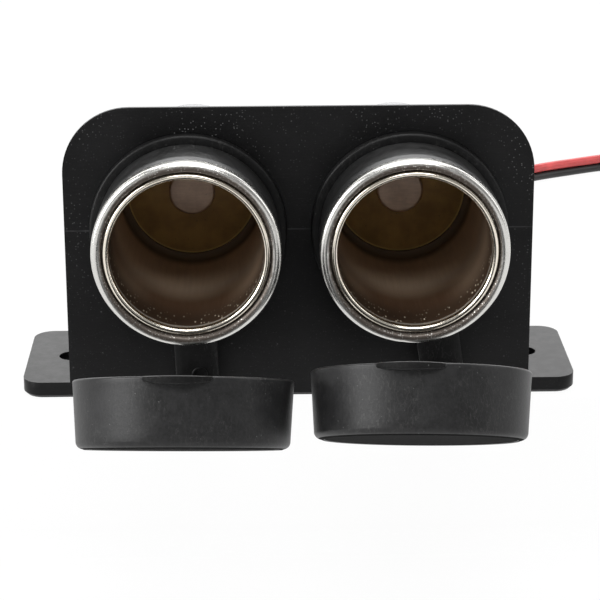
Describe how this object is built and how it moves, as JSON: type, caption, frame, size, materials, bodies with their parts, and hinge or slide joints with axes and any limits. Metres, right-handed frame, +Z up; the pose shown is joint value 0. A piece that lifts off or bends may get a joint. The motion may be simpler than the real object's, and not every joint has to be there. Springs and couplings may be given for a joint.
{
  "type": "twin car 12v power socket",
  "caption": "Screw-down bracket with two round 12 V vehicle power sockets, strap-hinged dust caps hanging open, and a red and black lead with bare ends.",
  "frame": {"origin": "middle of the base's underside, midway between the two screw holes", "axes": "+X along the panel to the right as seen from the front, +Y from the sockets' mouths to the back, +Z up"},
  "size_m": [0.1267, 0.1755, 0.044],
  "materials": {
    "moulded_black": "injection-moulded black plastic, satin, with fine dust",
    "soft_black": "softer black plastic, satin, with a dull sheen",
    "bright_nickel": "bright nickel plate, lightly speckled",
    "drawn_barrel": "thin plate over drawn steel, bright at the lip and dull brown inside",
    "phenolic": "brown phenolic sheet",
    "tinned_metal": "dull tinned metal",
    "brass_sheet": "stamped brass sheet",
    "red_cover": "red soft plastic cover",
    "black_cover": "black soft plastic cover",
    "red_wire": "red wire insulation, slightly glossy",
    "black_wire": "black wire insulation, slightly glossy"
  },
  "bodies": {
    "base": {"bracket": "moulded_black", "left_sleeve": "moulded_black", "left_bezel": "bright_nickel", "left_barrel": "drawn_barrel", "left_insulator": "phenolic", "left_contact": "tinned_metal", "left_ring_nut": "moulded_black", "left_rear_can": "bright_nickel", "left_bush": "moulded_black", "left_live_tab": "brass_sheet", "left_ground_tab": "brass_sheet", "left_stud_nut": "tinned_metal", "left_live_connector": "red_cover", "left_ground_connector": "black_cover", "left_cap_ring": "soft_black", "right_sleeve": "moulded_black", "right_bezel": "bright_nickel", "right_barrel": "drawn_barrel", "right_insulator": "phenolic", "right_contact": "tinned_metal", "right_ring_nut": "moulded_black", "right_rear_can": "bright_nickel", "right_bush": "moulded_black", "right_live_tab": "brass_sheet", "right_ground_tab": "brass_sheet", "right_stud_nut": "tinned_metal", "right_live_connector": "red_cover", "right_ground_connector": "black_cover", "right_cap_ring": "soft_black", "red_jumper": "red_wire", "black_jumper": "black_wire", "red_lead": "red_wire", "black_lead": "black_wire", "red_lead_tip": "tinned_metal", "black_lead_tip": "tinned_metal"},
    "left_cap": {"left_cap": "soft_black"},
    "right_cap": {"right_cap": "soft_black"}
  },
  "joints": [
    {"name": "left_cap_hinge", "type": "hinge", "parent": "base", "child": "left_cap", "pos_m": [-0.0159, -0.0195, 0.0013], "axis": [0.9999, 0, -0.014], "range_deg": [-67, 45]},
    {"name": "right_cap_hinge", "type": "hinge", "parent": "base", "child": "right_cap", "pos_m": [0.0159, -0.0195, 0.0013], "axis": [0.9997, 0, -0.0244], "range_deg": [-65, 45]}
  ]
}
